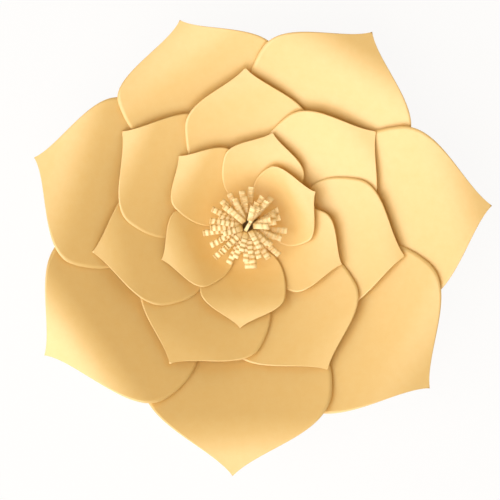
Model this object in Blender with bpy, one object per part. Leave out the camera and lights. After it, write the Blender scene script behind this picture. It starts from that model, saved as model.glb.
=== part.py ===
"""Layered paper flower decoration, cut and curled from card, lying on its back.

Three rings of pointed card petals are glued by their feet to a round card disc, and a
rolled strip of fringed, crimped card stands in the middle. Each ring overlaps like a
pinwheel. Every petal is cupped towards the middle and its tip is curled back.
Frame: +Z is the flower's axis, out of its face. The origin is the centre of the disc's
back face. +Y is up when the flower hangs on a wall. Sizes are in metres.
"""

import math

import bmesh
import bpy
from mathutils import Vector

DISC_CARD = 0.001
PETAL_CARD = 0.0004
STRAND_CARD = 0.0003
GLUE_GAP = 0.0003
FOOT_LEVEL = DISC_CARD + GLUE_GAP
FOOT_STEP = PETAL_CARD + GLUE_GAP

STRAND_COUNT = 50
STRAND_WIDTH = 0.0042
STRAND_CUT = 0.0004
BRIDGE_WIDTH = 0.0024
WIDE_STRAND_WIDTH = 0.0086
STRAND_WIDTHS = [BRIDGE_WIDTH] + [STRAND_WIDTH] * (STRAND_COUNT - 2) + [WIDE_STRAND_WIDTH]
STRIP_LENGTH = sum(STRAND_WIDTHS) + STRAND_CUT * (STRAND_COUNT - 1)
# Each turn of the roll holds one strand more than the last, and the first holds a half
# strand, so that the strands of one turn lie over the cuts of the next.
FIRST_TURN_STRANDS = 5.5
ROLL_PITCH = (STRAND_WIDTH + STRAND_CUT) / (2.0 * math.pi)
ROLL_START_RADIUS = ROLL_PITCH * (FIRST_TURN_STRANDS - 0.5)
ROLL_START_DEG = 222.0
ROLL_RADIUS = math.sqrt(ROLL_START_RADIUS**2 + ROLL_PITCH * STRIP_LENGTH / math.pi)
ROLL_CLEARANCE = 0.0015
BAND_TOP = 0.013
BEND_LENGTH = 0.007
BEND_STEPS = 2
CRIMP_STEP = 0.0017
CRIMP_DEPTH = 0.0005
# Straight part, lean in degrees, and number of crimps.
INNER_STRAND = (0.012, 68.0, 5.0)
OUTER_STRAND = (0.001, 86.0, 10.0)
BRIDGE_STRAND = (0.014, -86.0, 2)
LONG_SIDE_DEG = 235.0
LONG_SIDE_CRIMPS = 1.1
RAGGED_CRIMPS = 0.8
RAGGED_LEAN_DEG = 2.0
RAGGED_SWING_DEG = 2.0
RAGGED_TURN = 1.9
# In this direction the strands of all turns line up. They are spread by hand, those of
# one turn to one side and those of the next to the other, so that none hides another.
LINED_UP_DEG = 57.0
SPREAD_DEG = 9.0

PETAL_ROWS = 5
PETAL_COLUMNS = 6
RING_SPACING_DEG = 360.0 / 7.0
TIP_HALF_ANGLE_DEG = 40.0
TIP_SHOULDER = 0.48
TIP_NECK = 0.43

# The pattern that each ring's petals are cut from. The last five of each are ratios.
OUTER_RING = {
    "level": FOOT_LEVEL,
    "reach": 0.160,
    "half_width": 0.060,
    "widest": 0.104,
    "bowl_start": 0.029,
    "bowl_full": 0.086,
    "side_lift": 0.0047,
    "stand": 0.0043,
    "lift_start": 0.042,
    "lift_full": 0.062,
    "curl_length": 0.040,
    "curl_bend": 0.028,
    "foot_start": 0.024,
    "foot_start_half": 0.0085,
    "foot_end": 0.042,
    "foot_end_half": 0.0155,
    "slope": 0.64,
    "roundness": 0.72,
    "flare_along": 0.35,
    "flare_across": 0.30,
    "side_length": 0.66,
}
MIDDLE_RING = {
    "level": FOOT_LEVEL + FOOT_STEP,
    "reach": 0.106,
    "half_width": 0.043,
    "widest": 0.066,
    "bowl_start": 0.022,
    "bowl_full": 0.058,
    "side_lift": 0.0040,
    "stand": 0.0040,
    "lift_start": 0.025,
    "lift_full": 0.040,
    "curl_length": 0.024,
    "curl_bend": 0.016,
    "foot_start": 0.011,
    "foot_start_half": 0.0040,
    "foot_end": 0.029,
    "foot_end_half": 0.0102,
    "slope": 0.58,
    "roundness": 0.72,
    "flare_along": 0.08,
    "flare_across": 0.75,
    "side_length": 0.68,
}
INNER_RING = {
    "level": FOOT_LEVEL + 2.0 * FOOT_STEP,
    "reach": 0.066,
    "half_width": 0.028,
    "widest": 0.042,
    "bowl_start": 0.012,
    "bowl_full": 0.038,
    "side_lift": 0.0022,
    "stand": 0.0036,
    "lift_start": 0.009,
    "lift_full": 0.024,
    "curl_length": 0.022,
    "curl_bend": 0.016,
    "foot_start": ROLL_RADIUS + ROLL_CLEARANCE,
    "foot_start_half": 0.0036,
    "foot_end": 0.013,
    "foot_end_half": 0.0068,
    "slope": 0.60,
    "roundness": 0.70,
    "flare_along": 0.08,
    "flare_across": 0.60,
    "side_length": 0.62,
}
TOP_RING = dict(
    INNER_RING,
    level=FOOT_LEVEL + 3.0 * FOOT_STEP,
    reach=0.051,
    half_width=0.0275,
    widest=0.031,
    side_lift=0.0,
    stand=0.0052,
    bowl_full=0.036,
    curl_length=0.016,
    curl_bend=0.010,
    foot_start_half=0.006,
    foot_end=0.011,
    foot_end_half=0.011,
    slope=0.80,
    flare_along=0.10,
)

# Each petal is cut and curled by hand: direction in degrees from +X; how its reach, its
# half widths on the anticlockwise and clockwise side, and its widest place compare with the
# ring's pattern; how much its tip is curled back, as a change of slope; and how far the
# line of that bend is turned from square to the petal, in degrees.
OUTER_PETALS = (
    (57.4, 0.950, 0.926, 0.976, 0.991, 0.8, 0.0),
    (4.7, 1.000, 0.958, 1.016, 1.000, 0.7, 15.0),
    (-41.8, 1.000, 1.024, 1.083, 1.000, 0.9, 12.0),
    (-93.5, 1.025, 1.035, 1.067, 1.000, 0.7, 3.0),
    (-147.6, 0.994, 1.118, 0.976, 1.020, 1.0, 4.0),
    (162.2, 0.931, 0.992, 0.934, 0.982, 1.0, 2.0),
    (108.3, 0.894, 0.934, 0.902, 1.000, 0.8, 20.0),
)
MIDDLE_PETALS = (
    (91.0, 0.991, 0.954, 1.001, 1.001, 0.4, 20.0),
    (36.5, 1.000, 1.011, 1.001, 0.985, 0.42, 0.0),
    (-10.9, 1.000, 1.048, 1.001, 1.001, 0.5, 20.0),
    (-61.0, 1.028, 1.035, 1.139, 1.015, 0.45, 15.0),
    (-119.6, 0.991, 1.092, 1.001, 1.001, 0.2, 0.0),
    (-170.5, 0.991, 1.001, 0.976, 0.940, 0.38, 5.0),
    (143.1, 0.991, 1.070, 0.966, 0.970, 0.7, 15.0),
)
INNER_PETALS = (
    (75.2, 0.985, 0.983, 0.999, 0.976, 0.4, 10.0),
    (-22.1, 1.030, 1.013, 1.053, 1.024, 0.4, 10.0),
    (-94.5, 1.038, 1.028, 1.035, 1.048, 0.55, 3.0),
    (-158.9, 0.947, 0.990, 0.990, 0.952, 0.55, 3.0),
    (134.5, 1.008, 0.947, 0.999, 1.024, 0.8, 18.0),
)
TOP_PETALS = ((27.1, 1.000, 1.053, 1.000, 1.000, 0.5, 0.0),)

DISC_MARGIN = 0.002
DISC_RADIUS = OUTER_RING["foot_end"] + DISC_MARGIN
DISC_SIDES = 48

PETAL_COLOUR = (0.93, 0.70, 0.34)
FRINGE_COLOUR = (0.95, 0.76, 0.42)
CARD_ROUGHNESS = 0.8


def remove_everything():
    """Empty the scene, so that the script gives the same result each time."""
    for item in list(bpy.data.objects):
        bpy.data.objects.remove(item, do_unlink=True)


def card_material(name, colour):
    """Uncoated card, matte, with no metal in it."""
    material = bpy.data.materials.new(name)
    material.use_nodes = True
    shader = material.node_tree.nodes["Principled BSDF"]
    shader.inputs["Base Color"].default_value = (*colour, 1.0)
    shader.inputs["Roughness"].default_value = CARD_ROUGHNESS
    shader.inputs["Metallic"].default_value = 0.0
    return material


def add_object(name, mesh_data, material):
    """Turn a bmesh into an object of the scene."""
    mesh = bpy.data.meshes.new(name)
    mesh_data.to_mesh(mesh)
    mesh_data.free()
    mesh.materials.append(material)
    piece = bpy.data.objects.new(name, mesh)
    bpy.context.scene.collection.objects.link(piece)
    return piece


def thicken(piece, card, offset):
    """Give a sheet the thickness of its card."""
    solid = piece.modifiers.new("card", "SOLIDIFY")
    solid.thickness = card
    solid.offset = offset
    solid.use_even_offset = False


def ease(value):
    """A smooth step from 0 to 1."""
    held = min(max(value, 0.0), 1.0)
    return held * held * (3.0 - 2.0 * held)


def bowl_height(distance, start, full, slope):
    """Height of a bowl that is flat up to start and has its whole slope from full on."""
    share = min(max((distance - start) / (full - start), 0.0), 1.0)
    curved = slope * (full - start) * (share**3 - share**4 / 2.0)
    return curved + slope * max(0.0, distance - full)


def bezier(first, second, third, fourth, place):
    """A point of a cubic curve in one number."""
    rest = 1.0 - place
    outer = rest**3 * first + place**3 * fourth
    return outer + 3.0 * rest * rest * place * second + 3.0 * rest * place * place * third


def petal_sizes(ring, petal):
    """A petal's direction, reach, half widths, widest place, tip's curl and its turn."""
    direction, reach, ccw_half, cw_half, widest, curl, curl_turn = petal
    pattern_half = ring["half_width"]
    return (
        direction,
        reach * ring["reach"],
        ccw_half * pattern_half,
        cw_half * pattern_half,
        widest * ring["widest"],
        curl,
        curl_turn,
    )


def petal_rows(ring, petal):
    """Rows across a flat petal: distance along it, and both half widths there."""
    _, reach, ccw_half, cw_half, widest, _, _ = petal
    foot_end, foot_half = ring["foot_end"], ring["foot_end_half"]
    tip_angle = math.radians(TIP_HALF_ANGLE_DEG)
    body = widest - foot_end
    point = reach - widest
    rows = [(ring["foot_start"], ring["foot_start_half"], ring["foot_start_half"])]
    for step in range(PETAL_ROWS + 1):
        place = step / PETAL_ROWS
        flare = foot_end + ring["flare_along"] * body
        shoulder = widest - ring["side_length"] * body
        along = bezier(foot_end, flare, shoulder, widest, place)
        halves = []
        for half in (ccw_half, cw_half):
            flare_half = foot_half + ring["flare_across"] * (half - foot_half)
            halves.append(bezier(foot_half, flare_half, half, half, place))
        rows.append((along, *halves))
    for step in range(1, PETAL_ROWS + 2):
        place = step / (PETAL_ROWS + 1)
        shoulder = widest + TIP_SHOULDER * point
        neck = reach - TIP_NECK * point * math.cos(tip_angle)
        neck_half = TIP_NECK * point * math.sin(tip_angle)
        along = bezier(widest, shoulder, neck, reach, place)
        halves = [bezier(half, half, neck_half, 0.0, place) for half in (ccw_half, cw_half)]
        rows.append((along, *halves))
    return rows


def curl_drop(ring, petal, along, across):
    """How far the curled tip lies below the petal's own slope, bent on a straight line."""
    reach, curl, curl_turn = petal[1], petal[5], math.radians(petal[6])
    past = along * math.cos(curl_turn) + across * math.sin(curl_turn)
    past -= reach - ring["curl_length"]
    bend = ring["curl_bend"]
    if past <= 0.0:
        return 0.0
    if past < bend:
        return curl * past**2 / (2.0 * bend)
    return curl * (past - bend / 2.0)


def petal_height(ring, petal, along, across):
    """Height of a petal's lower face: bowl, lift of its anticlockwise side, curled tip."""
    bowl_distance = math.sqrt(along**2 + ring["roundness"] * across**2)
    height = bowl_height(bowl_distance, ring["bowl_start"], ring["bowl_full"], ring["slope"])
    distance = math.hypot(along, across)
    turn = math.degrees(math.atan2(across, along)) / RING_SPACING_DEG
    lift_share = (distance - ring["lift_start"]) / (ring["lift_full"] - ring["lift_start"])
    height += (ring["stand"] + ring["side_lift"] * turn) * ease(lift_share)
    return ring["level"] + height - curl_drop(ring, petal, along, across)


def add_petal(name, ring, petal, material):
    """One petal as a sheet over its outline, given its card's thickness."""
    direction = math.radians(petal[0])
    ahead = Vector((math.cos(direction), math.sin(direction), 0.0))
    aside = Vector((-math.sin(direction), math.cos(direction), 0.0))
    sheet = bmesh.new()
    previous = []
    for along, ccw_half, cw_half in petal_rows(ring, petal):
        columns = PETAL_COLUMNS if ccw_half > 0.0 else 0
        row = []
        for column in range(columns + 1):
            across = ccw_half - (ccw_half + cw_half) * column / PETAL_COLUMNS
            place = ahead * along + aside * across
            place.z = petal_height(ring, petal, along, across)
            row.append(sheet.verts.new(place))
        if len(row) == 1:
            for left, right in zip(previous, previous[1:]):
                sheet.faces.new((left, right, row[0]))
        elif previous:
            for index in range(PETAL_COLUMNS):
                corners = (previous[index], previous[index + 1], row[index + 1], row[index])
                sheet.faces.new(corners)
        previous = row
    piece = add_object(name, sheet, material)
    thicken(piece, PETAL_CARD, 1.0)
    return piece


def add_disc(material):
    """The round card that carries the petals' feet."""
    disc = bmesh.new()
    bmesh.ops.create_circle(disc, cap_ends=True, segments=DISC_SIDES, radius=DISC_RADIUS)
    bottom = disc.faces[:]
    top = bmesh.ops.extrude_face_region(disc, geom=bottom)["geom"]
    raised = [item for item in top if isinstance(item, bmesh.types.BMVert)]
    bmesh.ops.translate(disc, vec=(0.0, 0.0, DISC_CARD), verts=raised)
    bmesh.ops.recalc_face_normals(disc, faces=disc.faces)
    return add_object("base_disc", disc, material)


def roll_angle(length):
    """Angle along the roll, in radians from its start, for a length of strip."""
    growth = ROLL_PITCH / (2.0 * math.pi)
    return (math.sqrt(ROLL_START_RADIUS**2 + 2.0 * growth * length) - ROLL_START_RADIUS) / growth


def roll_point(length):
    """The place of the strip's foot in plan."""
    turned = roll_angle(length)
    radius = ROLL_START_RADIUS + ROLL_PITCH * turned / (2.0 * math.pi)
    angle = math.radians(ROLL_START_DEG) + turned
    return Vector((radius * math.cos(angle), radius * math.sin(angle), 0.0))


def strand_direction(index, middle):
    """Where a strand points: out of the roll, spread and swung a little to one side."""
    outward = roll_angle(middle) + math.radians(ROLL_START_DEG)
    past = (outward - math.radians(LINED_UP_DEG)) / (2.0 * math.pi) % 1.0
    turns_left = int((roll_angle(STRIP_LENGTH) - roll_angle(middle)) / (2.0 * math.pi))
    side = 1.0 if turns_left % 2 else -1.0
    swing = RAGGED_SWING_DEG * math.sin(3.0 * RAGGED_TURN * index)
    return outward + math.radians(side * SPREAD_DEG * (1.0 - 2.0 * past) + swing)


def strand_shape(index, share, direction):
    """Straight length, lean in degrees and number of crimps of one strand."""
    if index == 0:
        return BRIDGE_STRAND
    straight, lean, crimps = (
        inner + (outer - inner) * share for inner, outer in zip(INNER_STRAND, OUTER_STRAND)
    )
    lean += RAGGED_LEAN_DEG * math.sin(2.0 * RAGGED_TURN * index)
    crimps += RAGGED_CRIMPS * math.sin(RAGGED_TURN * index)
    crimps += LONG_SIDE_CRIMPS * math.cos(direction - math.radians(LONG_SIDE_DEG))
    return straight, lean, round(crimps)


def strand_path(straight, lean, crimps):
    """Steps of a strand: outward travel and height over the band's top."""
    travel, height = 0.0, straight
    path = [(travel, height)]
    step_length = BEND_LENGTH / BEND_STEPS
    for step in range(BEND_STEPS):
        angle = math.radians(lean) * (step + 0.5) / BEND_STEPS
        travel += step_length * math.sin(angle)
        height += step_length * math.cos(angle)
        path.append((travel, height))
    angle = math.radians(lean)
    for step in range(1, crimps + 1):
        travel += CRIMP_STEP * math.sin(angle)
        height += CRIMP_STEP * math.cos(angle)
        crimp = CRIMP_DEPTH if step % 2 else -CRIMP_DEPTH
        path.append((travel - crimp * math.cos(angle), height + crimp * math.sin(angle)))
    return path


def add_fringe(material):
    """A strip of card cut into strands, rolled up, its strands crimped and bent out."""
    sheet = bmesh.new()
    length = 0.0
    last_edge = None
    for index, width in enumerate(STRAND_WIDTHS):
        feet = [roll_point(length), roll_point(length + width)]
        edges = []
        for foot in feet:
            low = sheet.verts.new(foot + Vector((0.0, 0.0, FOOT_LEVEL)))
            high = sheet.verts.new(foot + Vector((0.0, 0.0, BAND_TOP)))
            edges.append((low, high))
        if last_edge:
            sheet.faces.new((last_edge[0], edges[0][0], edges[0][1], last_edge[1]))
        sheet.faces.new((edges[0][0], edges[1][0], edges[1][1], edges[0][1]))
        middle = length + width / 2.0
        direction = strand_direction(index, middle)
        outward = Vector((math.cos(direction), math.sin(direction), 0.0))
        share = middle / STRIP_LENGTH
        lower = (edges[0][1], edges[1][1])
        for travel, height in strand_path(*strand_shape(index, share, direction)):
            shift = outward * travel + Vector((0.0, 0.0, BAND_TOP + height))
            upper = tuple(sheet.verts.new(foot + shift) for foot in feet)
            sheet.faces.new((lower[0], lower[1], upper[1], upper[0]))
            lower = upper
        last_edge = edges[1]
        length += width + STRAND_CUT
    piece = add_object("centre_fringe", sheet, material)
    thicken(piece, STRAND_CARD, 0.0)
    return piece


def build():
    """Make every piece of the flower."""
    remove_everything()
    add_disc(card_material("card_disc", PETAL_COLOUR))
    rings = (
        ("outer_petal", OUTER_RING, OUTER_PETALS),
        ("middle_petal", MIDDLE_RING, MIDDLE_PETALS),
        ("inner_petal", INNER_RING, INNER_PETALS),
        ("top_petal", TOP_RING, TOP_PETALS),
    )
    for name, ring, petals in rings:
        for number, petal in enumerate(petals, start=1):
            node = name if len(petals) == 1 else f"{name}_{number}"
            add_petal(node, ring, petal_sizes(ring, petal), card_material(node, PETAL_COLOUR))
    add_fringe(card_material("centre_fringe", FRINGE_COLOUR))


build()
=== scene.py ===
"""A layered paper flower decoration, lying on its back on a pale floor.

Each petal is one sheet of card, cut to a point, cupped towards the middle and curled back
at its tip. The centre is a strip of card, cut into strands, rolled up and crimped.
All sizes are in metres.
"""

import math

import bmesh
import bpy
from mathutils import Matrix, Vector


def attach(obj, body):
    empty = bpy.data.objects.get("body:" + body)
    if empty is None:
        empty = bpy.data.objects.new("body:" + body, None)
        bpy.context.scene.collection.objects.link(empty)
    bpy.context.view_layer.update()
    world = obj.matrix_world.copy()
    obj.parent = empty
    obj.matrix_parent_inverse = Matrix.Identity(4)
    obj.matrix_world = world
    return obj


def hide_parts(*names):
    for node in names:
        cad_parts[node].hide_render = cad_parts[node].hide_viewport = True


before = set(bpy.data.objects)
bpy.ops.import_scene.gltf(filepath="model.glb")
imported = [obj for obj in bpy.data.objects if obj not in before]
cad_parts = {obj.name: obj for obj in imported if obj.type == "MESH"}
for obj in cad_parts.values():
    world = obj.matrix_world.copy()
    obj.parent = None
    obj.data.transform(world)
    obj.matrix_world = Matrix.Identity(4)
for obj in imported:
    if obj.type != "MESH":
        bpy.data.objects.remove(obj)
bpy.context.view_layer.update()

# Sizes, the same as the solids'

DISC_CARD = 0.001
PETAL_CARD = 0.0004
STRAND_CARD = 0.0003
GLUE_GAP = 0.0003
FOOT_LEVEL = DISC_CARD + GLUE_GAP
FOOT_STEP = PETAL_CARD + GLUE_GAP

STRAND_COUNT = 50
STRAND_WIDTH = 0.0042
STRAND_CUT = 0.0004
BRIDGE_WIDTH = 0.0024
WIDE_STRAND_WIDTH = 0.0086
STRAND_WIDTHS = [BRIDGE_WIDTH] + [STRAND_WIDTH] * (STRAND_COUNT - 2) + [WIDE_STRAND_WIDTH]
STRIP_LENGTH = sum(STRAND_WIDTHS) + STRAND_CUT * (STRAND_COUNT - 1)
# Each turn of the roll holds one strand more than the last, and the first holds a half
# strand, so that the strands of one turn lie over the cuts of the next.
FIRST_TURN_STRANDS = 5.5
ROLL_PITCH = (STRAND_WIDTH + STRAND_CUT) / (2.0 * math.pi)
ROLL_START_RADIUS = ROLL_PITCH * (FIRST_TURN_STRANDS - 0.5)
ROLL_START_DEG = 222.0
ROLL_RADIUS = math.sqrt(ROLL_START_RADIUS**2 + ROLL_PITCH * STRIP_LENGTH / math.pi)
ROLL_CLEARANCE = 0.0015
BAND_TOP = 0.013
BEND_LENGTH = 0.007
CRIMP_STEP = 0.0017
CRIMP_DEPTH = 0.0005
# Straight part, lean in degrees, and number of crimps.
INNER_STRAND = (0.012, 68.0, 5.0)
OUTER_STRAND = (0.001, 86.0, 10.0)
BRIDGE_STRAND = (0.014, -86.0, 2)
# The strands have the most crimps in this direction, and vary a little from one to the next.
LONG_SIDE_DEG = 235.0
LONG_SIDE_CRIMPS = 1.1
RAGGED_CRIMPS = 0.8
RAGGED_LEAN_DEG = 2.0
RAGGED_SWING_DEG = 2.0
RAGGED_TURN = 1.9
# The lean and the swing vary at other paces than the crimps, so that no pattern shows.
LEAN_PACE = 2.0
SWING_PACE = 3.0
# How near the crimps come to sharp folds, which 1 would be.
CRIMP_SHARPNESS = 0.96
# In this direction the strands of all turns line up. They are spread by hand, those of
# one turn to one side and those of the next to the other, so that none hides another.
LINED_UP_DEG = 57.0
SPREAD_DEG = 9.0

RING_SPACING_DEG = 360.0 / 7.0
TIP_HALF_ANGLE_DEG = 40.0
TIP_SHOULDER = 0.48
TIP_NECK = 0.43

# The pattern of each ring. A petal's foot is a flat strip at the level, from foot_start to
# foot_end. Its outline flares from there to the widest place, and closes to the reach.
# The bowl rises from bowl_start to its whole slope at bowl_full, and roundness is how much
# it also rises to the sides. Past lift_start the petal is raised by stand, more towards its
# anticlockwise side and less towards the other, by side_lift for each ring spacing. The
# last curl_length is the tip, bent over curl_bend.
OUTER_RING = {
    "level": FOOT_LEVEL,
    "reach": 0.160,
    "half_width": 0.060,
    "widest": 0.104,
    "bowl_start": 0.029,
    "bowl_full": 0.086,
    "side_lift": 0.0047,
    "stand": 0.0043,
    "lift_start": 0.042,
    "lift_full": 0.062,
    "curl_length": 0.040,
    "curl_bend": 0.028,
    "foot_start": 0.024,
    "foot_start_half": 0.0085,
    "foot_end": 0.042,
    "foot_end_half": 0.0155,
    "slope": 0.64,
    "roundness": 0.72,
    "flare_along": 0.35,
    "flare_across": 0.30,
    "side_length": 0.66,
}
MIDDLE_RING = {
    "level": FOOT_LEVEL + FOOT_STEP,
    "reach": 0.106,
    "half_width": 0.043,
    "widest": 0.066,
    "bowl_start": 0.022,
    "bowl_full": 0.058,
    "side_lift": 0.0040,
    "stand": 0.0040,
    "lift_start": 0.025,
    "lift_full": 0.040,
    "curl_length": 0.024,
    "curl_bend": 0.016,
    "foot_start": 0.011,
    "foot_start_half": 0.0040,
    "foot_end": 0.029,
    "foot_end_half": 0.0102,
    "slope": 0.58,
    "roundness": 0.72,
    "flare_along": 0.08,
    "flare_across": 0.75,
    "side_length": 0.68,
}
INNER_RING = {
    "level": FOOT_LEVEL + 2.0 * FOOT_STEP,
    "reach": 0.066,
    "half_width": 0.028,
    "widest": 0.042,
    "bowl_start": 0.012,
    "bowl_full": 0.038,
    "side_lift": 0.0022,
    "stand": 0.0036,
    "lift_start": 0.009,
    "lift_full": 0.024,
    "curl_length": 0.022,
    "curl_bend": 0.016,
    "foot_start": ROLL_RADIUS + ROLL_CLEARANCE,
    "foot_start_half": 0.0036,
    "foot_end": 0.013,
    "foot_end_half": 0.0068,
    "slope": 0.60,
    "roundness": 0.70,
    "flare_along": 0.08,
    "flare_across": 0.60,
    "side_length": 0.62,
}
TOP_RING = dict(
    INNER_RING,
    level=FOOT_LEVEL + 3.0 * FOOT_STEP,
    reach=0.051,
    half_width=0.0275,
    widest=0.031,
    side_lift=0.0,
    stand=0.0052,
    bowl_full=0.036,
    curl_length=0.016,
    curl_bend=0.010,
    foot_start_half=0.006,
    foot_end=0.011,
    foot_end_half=0.011,
    slope=0.80,
    flare_along=0.10,
)

# Each petal is cut and curled by hand: direction in degrees from +X; how its reach, its
# half widths on the anticlockwise and clockwise side, and its widest place compare with the
# ring's pattern; how much its tip is curled back, as a change of slope; and how far the
# line of that bend is turned from square to the petal, in degrees.
OUTER_PETALS = (
    (57.4, 0.950, 0.926, 0.976, 0.991, 0.8, 0.0),
    (4.7, 1.000, 0.958, 1.016, 1.000, 0.7, 15.0),
    (-41.8, 1.000, 1.024, 1.083, 1.000, 0.9, 12.0),
    (-93.5, 1.025, 1.035, 1.067, 1.000, 0.7, 3.0),
    (-147.6, 0.994, 1.118, 0.976, 1.020, 1.0, 4.0),
    (162.2, 0.931, 0.992, 0.934, 0.982, 1.0, 2.0),
    (108.3, 0.894, 0.934, 0.902, 1.000, 0.8, 20.0),
)
MIDDLE_PETALS = (
    (91.0, 0.991, 0.954, 1.001, 1.001, 0.4, 20.0),
    (36.5, 1.000, 1.011, 1.001, 0.985, 0.42, 0.0),
    (-10.9, 1.000, 1.048, 1.001, 1.001, 0.5, 20.0),
    (-61.0, 1.028, 1.035, 1.139, 1.015, 0.45, 15.0),
    (-119.6, 0.991, 1.092, 1.001, 1.001, 0.2, 0.0),
    (-170.5, 0.991, 1.001, 0.976, 0.940, 0.38, 5.0),
    (143.1, 0.991, 1.070, 0.966, 0.970, 0.7, 15.0),
)
INNER_PETALS = (
    (75.2, 0.985, 0.983, 0.999, 0.976, 0.4, 10.0),
    (-22.1, 1.030, 1.013, 1.053, 1.024, 0.4, 10.0),
    (-94.5, 1.038, 1.028, 1.035, 1.048, 0.55, 3.0),
    (-158.9, 0.947, 0.990, 0.990, 0.952, 0.55, 3.0),
    (134.5, 1.008, 0.947, 0.999, 1.024, 0.8, 18.0),
)
TOP_PETALS = ((27.1, 1.000, 1.053, 1.000, 1.000, 0.5, 0.0),)

# Fineness of the sheets

PETAL_ROWS = 72
PETAL_COLUMNS = 44
FOOT_SHARE = 0.08
BODY_SHARE = 0.50
STRAND_COLUMNS = 3
STRAND_ROWS = 84
BAND_ROWS = 2
MERGE_DISTANCE = 0.000001
# Each sheet starts as a flat grid of side 1 round the origin.
HALF_GRID = 0.5
# A petal's card lies above its sheet, and a strand's to both sides.
PETAL_OFFSET = 1.0
STRAND_OFFSET = 0.0

# The view and the light

# The camera looks straight down. VIEW_WIDTH is what it shows at VIEW_LEVEL, and from the
# distance of a long lens the petals' depth hardly changes their outlines.
VIEW_CENTRE = (0.00132, -0.01584)
VIEW_WIDTH = 0.330
VIEW_LEVEL = 0.045
LENS_MM = 135.0
SENSOR_MM = 36.0
# A large white lamp stands at the lower left, so that shadows are soft.
KEY_TURN_DEG = 224.0
KEY_HEIGHT_DEG = 48.0
KEY_DISTANCE = 1.6
KEY_SIZE = 2.8
KEY_POWER = 43.0
# The fill from all round is warm, as light is that has met other petals first.
FILL_COLOUR = "#FFC400"
FILL_STRENGTH = 0.34
FLOOR_SIZE = 6.0
FLOOR_THICKNESS = 0.01
FLOOR_COLOUR = "#F4F2EE"
# How much of the floor's look is plain white. The rest is lit paper, with the shadow.
FLOOR_GLOW = 0.92
PLAIN_WHITE = "#FFFFFF"


def linear(code):
    """A colour written as sRGB hex, as the linear colour that a shader takes."""
    channels = []
    for start in (1, 3, 5):
        value = int(code[start:start + 2], 16) / 255.0
        channels.append(value / 12.92 if value <= 0.04045 else ((value + 0.055) / 1.055) ** 2.4)
    return (*channels, 1.0)


def add_node(tree, kind, settings=None, inputs=None, links=()):
    """A shader node with its settings, its input values and its links from other nodes."""
    item = tree.nodes.new(kind)
    for name, value in (settings or {}).items():
        setattr(item, name, value)
    for name, value in (inputs or {}).items():
        item.inputs[name].default_value = value
    for name, source in links:
        tree.links.new(source, item.inputs[name])
    return item


# Materials

# Card fibres are about 0.05 mm wide and 1 mm long. They are drawn 0.7 mm wide, because
# finer ones don't show at this distance.
FIBRE_SIZE = 0.0007
FIBRE_DETAIL = 4.0
FIBRE_ROUGHNESS = 0.7
# Pulp lies a little unevenly in card, in clouds some millimetres wide.
CLOUD_SIZE = 0.006
CLOUD_DETAIL = 3.0
CLOUD_ROUGHNESS = 0.6
# The share of the tint that comes from the fibres, and where in the pattern the deep tint
# ends and the light one begins.
FIBRE_SHARE = 0.35
DEEP_TINT = 0.25
LIGHT_TINT = 0.75
# The fibres stand out so little that only glancing light shows them.
GRAIN_STRENGTH = 0.12
GRAIN_DEPTH = 0.0001
# Paper fibre has an IOR of about 1.5. Pressed card shines more than that at a low angle,
# so it is matched with 1.7 and a full specular level.
CARD_IOR = 1.7
CARD_SPECULAR = 1.0
PRESSED_ROUGHNESS = 0.56
CUT_ROUGHNESS = 0.7
BOARD_ROUGHNESS = 0.85


def card_material(name, light, deep, roughness):
    """Card dyed in the pulp: faint clouds of two near tints, under a fine grain of fibres."""
    material = bpy.data.materials.new(name)
    material.use_nodes = True
    tree = material.node_tree
    shader = tree.nodes["Principled BSDF"]
    shader.inputs["Roughness"].default_value = roughness
    shader.inputs["IOR"].default_value = CARD_IOR
    shader.inputs["Specular IOR Level"].default_value = CARD_SPECULAR
    shader.inputs["Metallic"].default_value = 0.0
    place = add_node(tree, "ShaderNodeTexCoord").outputs["Object"]
    clouds = add_node(
        tree,
        "ShaderNodeTexNoise",
        inputs={
            "Scale": 1.0 / CLOUD_SIZE,
            "Detail": CLOUD_DETAIL,
            "Roughness": CLOUD_ROUGHNESS,
        },
        links=[("Vector", place)],
    )
    fibres = add_node(
        tree,
        "ShaderNodeTexNoise",
        inputs={
            "Scale": 1.0 / FIBRE_SIZE,
            "Detail": FIBRE_DETAIL,
            "Roughness": FIBRE_ROUGHNESS,
        },
        links=[("Vector", place)],
    )
    mixed = add_node(
        tree,
        "ShaderNodeMix",
        {"data_type": "FLOAT"},
        {"Factor": FIBRE_SHARE},
        [("A", clouds.outputs["Fac"]), ("B", fibres.outputs["Fac"])],
    )
    tint = add_node(tree, "ShaderNodeValToRGB", links=[("Fac", mixed.outputs["Result"])])
    stops = tint.color_ramp.elements
    for stop, position, colour in zip(stops, (DEEP_TINT, LIGHT_TINT), (deep, light)):
        stop.position = position
        stop.color = linear(colour)
    grain = add_node(
        tree,
        "ShaderNodeBump",
        inputs={"Strength": GRAIN_STRENGTH, "Distance": GRAIN_DEPTH},
        links=[("Height", fibres.outputs["Fac"])],
    )
    tree.links.new(tint.outputs["Color"], shader.inputs["Base Color"])
    tree.links.new(grain.outputs["Normal"], shader.inputs["Normal"])
    return material


def background_share(tree):
    """1 for a ray that meets plain white: the camera's, gloss's and glass's. 0 for light."""
    rays = add_node(tree, "ShaderNodeLightPath")
    share = rays.outputs["Is Camera Ray"]
    for name in ("Is Glossy Ray", "Is Transmission Ray"):
        larger = add_node(
            tree,
            "ShaderNodeMath",
            {"operation": "MAXIMUM"},
            links=[(0, share), (1, rays.outputs[name])],
        )
        share = larger.outputs["Value"]
    return share


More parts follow.
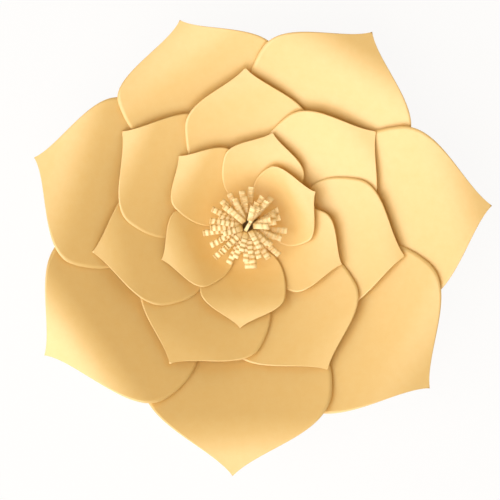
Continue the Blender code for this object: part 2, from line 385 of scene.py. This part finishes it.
def floor_material():
    """Matte white paper: the eye sees a plain white floor with the object's faint shadow."""
    material = bpy.data.materials.new("white_backdrop_paper")
    material.use_nodes = True
    tree = material.node_tree
    tree.nodes.clear()
    paper = add_node(
        tree, "ShaderNodeBsdfDiffuse", inputs={"Color": linear(FLOOR_COLOUR), "Roughness": 0.0}
    )
    glow = add_node(
        tree, "ShaderNodeEmission", inputs={"Color": linear(PLAIN_WHITE), "Strength": 1.0}
    )
    share = add_node(
        tree,
        "ShaderNodeMath",
        {"operation": "MULTIPLY"},
        {1: FLOOR_GLOW},
        [(0, background_share(tree))],
    )
    blend = add_node(
        tree,
        "ShaderNodeMixShader",
        links=[
            ("Fac", share.outputs["Value"]),
            (1, paper.outputs["BSDF"]),
            (2, glow.outputs["Emission"]),
        ],
    )
    add_node(tree, "ShaderNodeOutputMaterial", links=[("Surface", blend.outputs["Shader"])])
    return material


# Pastel card, pressed between rollers: a warm even yellow-orange, with a broad soft sheen
# that pales it where a tip turns to the lamp.
pastel_card = card_material("pastel_orange_card", "#F0CF86", "#EDC776", PRESSED_ROUGHNESS)
# The same card where a blade has cut it, rougher and so duller. Its colour is paler than the
# face: a painted highlight, a thin light line along every cut edge.
cut_edge = card_material("cut_card_edge", "#F3D490", "#F0CC81", CUT_ROUGHNESS)
# A paler card, cut in strands and crimped: each fold catches the light as a pale bar.
crimped_card = card_material(
    "crimped_card_strands", "#FDE6B0", "#FBDE9E", PRESSED_ROUGHNESS
)
# Unpressed board: a rougher, duller buff, which stays back behind the petals.
backing_board = card_material("backing_board", "#F3D3A0", "#EFCB94", BOARD_ROUGHNESS)


# Shapes


def ease(value):
    """A smooth step from 0 to 1."""
    held = min(max(value, 0.0), 1.0)
    return held * held * (3.0 - 2.0 * held)


def bowl_height(distance, start, full, slope):
    """Height of a bowl that is flat up to start and has its whole slope from full on."""
    share = min(max((distance - start) / (full - start), 0.0), 1.0)
    curved = slope * (full - start) * (share**3 - share**4 / 2.0)
    return curved + slope * max(0.0, distance - full)


def bezier(first, second, third, fourth, place):
    """A point of a cubic curve in one number."""
    rest = 1.0 - place
    outer = rest**3 * first + place**3 * fourth
    return outer + 3.0 * rest * rest * place * second + 3.0 * rest * place * place * third


def petal_sizes(ring, petal):
    """A petal's direction, reach, half widths, widest place, tip's curl and its turn."""
    direction, reach, ccw_half, cw_half, widest, curl, curl_turn = petal
    pattern_half = ring["half_width"]
    return (
        direction,
        reach * ring["reach"],
        ccw_half * pattern_half,
        cw_half * pattern_half,
        widest * ring["widest"],
        curl,
        curl_turn,
    )


def petal_row(ring, petal, place):
    """Distance along the petal, and its half widths there, from foot (0) to tip (1)."""
    _, reach, ccw_half, cw_half, widest, _, _ = petal
    foot_end, foot_half = ring["foot_end"], ring["foot_end_half"]
    if place < FOOT_SHARE:
        part = place / FOOT_SHARE
        along = ring["foot_start"] + (foot_end - ring["foot_start"]) * part
        half = ring["foot_start_half"] + (foot_half - ring["foot_start_half"]) * part
        return along, half, half
    if place < FOOT_SHARE + BODY_SHARE:
        part = (place - FOOT_SHARE) / BODY_SHARE
        body = widest - foot_end
        flare = foot_end + ring["flare_along"] * body
        shoulder = widest - ring["side_length"] * body
        halves = []
        for half in (ccw_half, cw_half):
            flare_half = foot_half + ring["flare_across"] * (half - foot_half)
            halves.append(bezier(foot_half, flare_half, half, half, part))
        return bezier(foot_end, flare, shoulder, widest, part), *halves
    part = (place - FOOT_SHARE - BODY_SHARE) / (1.0 - FOOT_SHARE - BODY_SHARE)
    point = reach - widest
    tip_angle = math.radians(TIP_HALF_ANGLE_DEG)
    neck = reach - TIP_NECK * point * math.cos(tip_angle)
    neck_half = TIP_NECK * point * math.sin(tip_angle)
    halves = [bezier(half, half, neck_half, 0.0, part) for half in (ccw_half, cw_half)]
    return bezier(widest, widest + TIP_SHOULDER * point, neck, reach, part), *halves


def curl_drop(ring, petal, along, across):
    """How far the curled tip lies below the petal's own slope, bent on a straight line."""
    reach, curl, curl_turn = petal[1], petal[5], math.radians(petal[6])
    past = along * math.cos(curl_turn) + across * math.sin(curl_turn)
    past -= reach - ring["curl_length"]
    bend = ring["curl_bend"]
    if past <= 0.0:
        return 0.0
    if past < bend:
        return curl * past**2 / (2.0 * bend)
    return curl * (past - bend / 2.0)


def petal_height(ring, petal, along, across):
    """Height of a petal's lower face: bowl, lift of its anticlockwise side, curled tip."""
    bowl_distance = math.sqrt(along**2 + ring["roundness"] * across**2)
    height = bowl_height(bowl_distance, ring["bowl_start"], ring["bowl_full"], ring["slope"])
    distance = math.hypot(along, across)
    turn = math.degrees(math.atan2(across, along)) / RING_SPACING_DEG
    lift_share = (distance - ring["lift_start"]) / (ring["lift_full"] - ring["lift_start"])
    height += (ring["stand"] + ring["side_lift"] * turn) * ease(lift_share)
    return ring["level"] + height - curl_drop(ring, petal, along, across)


def add_object(name, data):
    """An object in the scene, for a mesh, a camera or a lamp."""
    item = bpy.data.objects.new(name, data)
    bpy.context.scene.collection.objects.link(item)
    return item


def add_piece(name, sheet, thickness, offset, face):
    """A finished sheet of card, with a material for its faces and one for its cut edges."""
    mesh = bpy.data.meshes.new(name)
    sheet.to_mesh(mesh)
    sheet.free()
    mesh.materials.append(face)
    mesh.materials.append(cut_edge)
    mesh.shade_smooth()
    piece = add_object(name, mesh)
    solid = piece.modifiers.new("card", "SOLIDIFY")
    solid.thickness = thickness
    solid.offset = offset
    solid.use_even_offset = False
    solid.material_offset_rim = 1
    return piece


def add_petal(node, ring, petal):
    """One petal, shaped from a flat grid over its outline."""
    direction = math.radians(petal[0])
    ahead = Vector((math.cos(direction), math.sin(direction), 0.0))
    aside = Vector((-math.sin(direction), math.cos(direction), 0.0))
    sheet = bmesh.new()
    bmesh.ops.create_grid(
        sheet, x_segments=PETAL_COLUMNS, y_segments=PETAL_ROWS, size=HALF_GRID
    )
    for vert in sheet.verts:
        along, ccw_half, cw_half = petal_row(ring, petal, min(vert.co.y + HALF_GRID, 1.0))
        across = ccw_half - (ccw_half + cw_half) * (vert.co.x + HALF_GRID)
        place = ahead * along + aside * across
        place.z = petal_height(ring, petal, along, across)
        vert.co = place
    bmesh.ops.remove_doubles(sheet, verts=sheet.verts, dist=MERGE_DISTANCE)
    piece = add_piece(f"{node}_card", sheet, PETAL_CARD, PETAL_OFFSET, pastel_card)
    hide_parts(node)
    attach(piece, "root")


def roll_angle(length):
    """Angle along the roll, in radians from its start, for a length of strip."""
    growth = ROLL_PITCH / (2.0 * math.pi)
    return (math.sqrt(ROLL_START_RADIUS**2 + 2.0 * growth * length) - ROLL_START_RADIUS) / growth


def roll_point(length):
    """The place of the strip's foot in plan."""
    turned = roll_angle(length)
    radius = ROLL_START_RADIUS + ROLL_PITCH * turned / (2.0 * math.pi)
    angle = math.radians(ROLL_START_DEG) + turned
    return Vector((radius * math.cos(angle), radius * math.sin(angle), 0.0))


def strand_direction(index, middle):
    """Where a strand points: out of the roll, spread and swung a little to one side."""
    outward = roll_angle(middle) + math.radians(ROLL_START_DEG)
    past = (outward - math.radians(LINED_UP_DEG)) / (2.0 * math.pi) % 1.0
    turns_left = int((roll_angle(STRIP_LENGTH) - roll_angle(middle)) / (2.0 * math.pi))
    side = 1.0 if turns_left % 2 else -1.0
    swing = RAGGED_SWING_DEG * math.sin(SWING_PACE * RAGGED_TURN * index)
    return outward + math.radians(side * SPREAD_DEG * (1.0 - 2.0 * past) + swing)


def strand_shape(index, share, direction):
    """Straight length, lean in degrees and number of crimps of one strand."""
    if index == 0:
        return BRIDGE_STRAND
    straight, lean, crimps = (
        inner + (outer - inner) * share for inner, outer in zip(INNER_STRAND, OUTER_STRAND)
    )
    lean += RAGGED_LEAN_DEG * math.sin(LEAN_PACE * RAGGED_TURN * index)
    crimps += RAGGED_CRIMPS * math.sin(RAGGED_TURN * index)
    crimps += LONG_SIDE_CRIMPS * math.cos(direction - math.radians(LONG_SIDE_DEG))
    return straight, lean, round(crimps)


def strand_place(straight, lean, crimps, share):
    """Outward travel and height over the band's top, for a share of a strand's length."""
    crimped = crimps * CRIMP_STEP
    length = share * (straight + BEND_LENGTH + crimped)
    angle = math.radians(lean)
    if length < straight:
        return 0.0, length
    radius = BEND_LENGTH / angle
    turned = min((length - straight) / BEND_LENGTH, 1.0) * angle
    travel = radius * (1.0 - math.cos(turned))
    height = straight + radius * math.sin(turned)
    rest = max(0.0, length - straight - BEND_LENGTH)
    wave = -math.cos(math.pi * rest / CRIMP_STEP)
    zigzag = math.asin(CRIMP_SHARPNESS * wave) / math.asin(CRIMP_SHARPNESS)
    crimp = CRIMP_DEPTH * zigzag * ease(rest / CRIMP_STEP)
    travel += rest * math.sin(angle) - crimp * math.cos(angle)
    height += rest * math.cos(angle) + crimp * math.sin(angle)
    return travel, height


def add_fringe(node):
    """The rolled strip: one flat grid, rolled up by formula, with the cuts taken out."""
    columns = STRAND_COUNT * (STRAND_COLUMNS + 1) - 1
    rows = BAND_ROWS + STRAND_ROWS
    starts = [0.0]
    for width in STRAND_WIDTHS:
        starts.append(starts[-1] + width + STRAND_CUT)
    sheet = bmesh.new()
    bmesh.ops.create_grid(sheet, x_segments=columns, y_segments=rows, size=HALF_GRID)
    cuts = []
    for face in sheet.faces:
        centre = face.calc_center_median()
        column = int((centre.x + HALF_GRID) * columns)
        row = int((centre.y + HALF_GRID) * rows)
        if column % (STRAND_COLUMNS + 1) == STRAND_COLUMNS and row >= BAND_ROWS:
            cuts.append(face)
    bmesh.ops.delete(sheet, geom=cuts, context="FACES")
    for vert in sheet.verts:
        column = round((vert.co.x + HALF_GRID) * columns)
        row = round((vert.co.y + HALF_GRID) * rows)
        index, part = divmod(column, STRAND_COLUMNS + 1)
        width = STRAND_WIDTHS[index]
        length = starts[index] + width * part / STRAND_COLUMNS
        middle = starts[index] + width / 2.0
        foot = roll_point(length)
        if part not in (0, STRAND_COLUMNS) and row > BAND_ROWS:
            ends = roll_point(starts[index]), roll_point(starts[index] + width)
            foot = ends[0].lerp(ends[1], part / STRAND_COLUMNS)
        if row <= BAND_ROWS:
            height = FOOT_LEVEL + (BAND_TOP - FOOT_LEVEL) * row / BAND_ROWS
            vert.co = foot + Vector((0.0, 0.0, height))
            continue
        direction = strand_direction(index, middle)
        outward = Vector((math.cos(direction), math.sin(direction), 0.0))
        shape = strand_shape(index, middle / STRIP_LENGTH, direction)
        travel, height = strand_place(*shape, (row - BAND_ROWS) / STRAND_ROWS)
        vert.co = foot + outward * travel + Vector((0.0, 0.0, BAND_TOP + height))
    piece = add_piece("fringe_strands", sheet, STRAND_CARD, STRAND_OFFSET, crimped_card)
    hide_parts(node)
    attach(piece, "root")


# The flower

rings = (
    ("outer_petal", OUTER_RING, OUTER_PETALS),
    ("middle_petal", MIDDLE_RING, MIDDLE_PETALS),
    ("inner_petal", INNER_RING, INNER_PETALS),
    ("top_petal", TOP_RING, TOP_PETALS),
)
for ring_name, ring, petals in rings:
    for number, petal in enumerate(petals, start=1):
        node = ring_name if len(petals) == 1 else f"{ring_name}_{number}"
        add_petal(node, ring, petal_sizes(ring, petal))
add_fringe("centre_fringe")

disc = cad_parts["base_disc"]
disc.data.materials.clear()
disc.data.materials.append(backing_board)

# Floor, camera and light

ground = bmesh.new()
bmesh.ops.create_cube(ground, size=1.0)
bmesh.ops.scale(ground, vec=(FLOOR_SIZE, FLOOR_SIZE, FLOOR_THICKNESS), verts=ground.verts)
bmesh.ops.translate(ground, vec=(0.0, 0.0, -FLOOR_THICKNESS / 2.0), verts=ground.verts)
ground_mesh = bpy.data.meshes.new("floor")
ground.to_mesh(ground_mesh)
ground.free()
ground_mesh.materials.append(floor_material())
add_object("floor", ground_mesh)

view = bpy.data.cameras.new("view")
view.lens = LENS_MM
view.sensor_width = SENSOR_MM
camera = add_object("camera", view)
camera.location = (*VIEW_CENTRE, VIEW_LEVEL + VIEW_WIDTH * LENS_MM / SENSOR_MM)
bpy.context.scene.camera = camera

lamp = bpy.data.lights.new("key", "AREA")
lamp.shape = "DISK"
lamp.size = KEY_SIZE
lamp.energy = KEY_POWER
key = add_object("key", lamp)
key_turn, key_rise = math.radians(KEY_TURN_DEG), math.radians(KEY_HEIGHT_DEG)
key.location = KEY_DISTANCE * Vector(
    (
        math.cos(key_turn) * math.cos(key_rise),
        math.sin(key_turn) * math.cos(key_rise),
        math.sin(key_rise),
    )
)
key.rotation_euler = key.location.to_track_quat("Z", "Y").to_euler()

# Light gets the warm fill. The camera, gloss and glass see plain white instead.
world = bpy.data.worlds.new("studio")
world.use_nodes = True
sky = world.node_tree
sky.nodes.clear()
fill = add_node(
    sky,
    "ShaderNodeBackground",
    inputs={"Color": linear(FILL_COLOUR), "Strength": FILL_STRENGTH},
)
backdrop = add_node(
    sky, "ShaderNodeBackground", inputs={"Color": linear(PLAIN_WHITE), "Strength": 1.0}
)
blend = add_node(
    sky,
    "ShaderNodeMixShader",
    links=[
        ("Fac", background_share(sky)),
        (1, fill.outputs["Background"]),
        (2, backdrop.outputs["Background"]),
    ],
)
add_node(sky, "ShaderNodeOutputWorld", links=[("Surface", blend.outputs["Shader"])])
bpy.context.scene.world = world
bpy.context.scene.view_settings.view_transform = "Standard"
